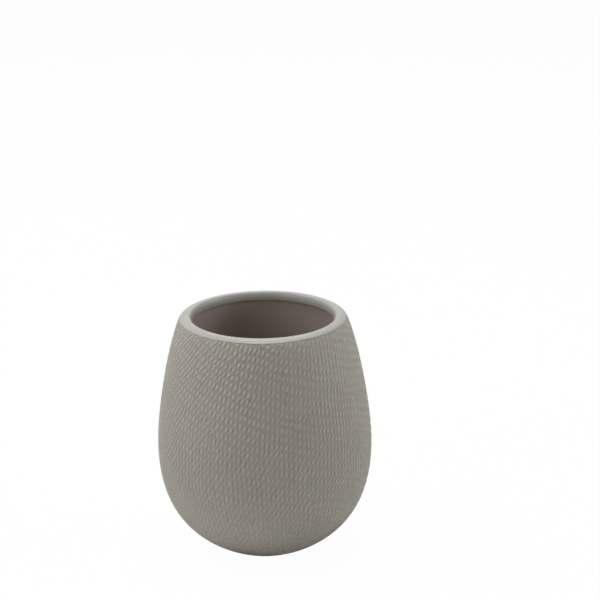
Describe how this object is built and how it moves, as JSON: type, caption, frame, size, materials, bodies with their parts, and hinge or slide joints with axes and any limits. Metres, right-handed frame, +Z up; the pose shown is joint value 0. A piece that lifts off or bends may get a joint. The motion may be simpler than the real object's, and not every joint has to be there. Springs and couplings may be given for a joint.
{
  "type": "bathroom tumbler",
  "caption": "Free-standing round-bellied ceramic tumbler with a fine woven relief outside, a smooth rounded lip and an open inside.",
  "frame": {"origin": "middle of the foot, on the surface that the tumbler stands on", "axes": "+Z up along the tumbler's axis of symmetry; X and Y are alike, because the tumbler is round"},
  "size_m": [0.09, 0.09, 0.101],
  "materials": {
    "bare_clay": "unglazed, fine and dry, seen only on the underside",
    "matt_glaze": "matt greige glaze over a fine woven relief",
    "smooth_glaze": "smooth satin greige glaze on the lip and the inside"
  },
  "bodies": {
    "root": {"clay_body": "bare_clay", "outer_glaze": "matt_glaze", "inner_glaze": "smooth_glaze"}
  },
  "joints": []
}
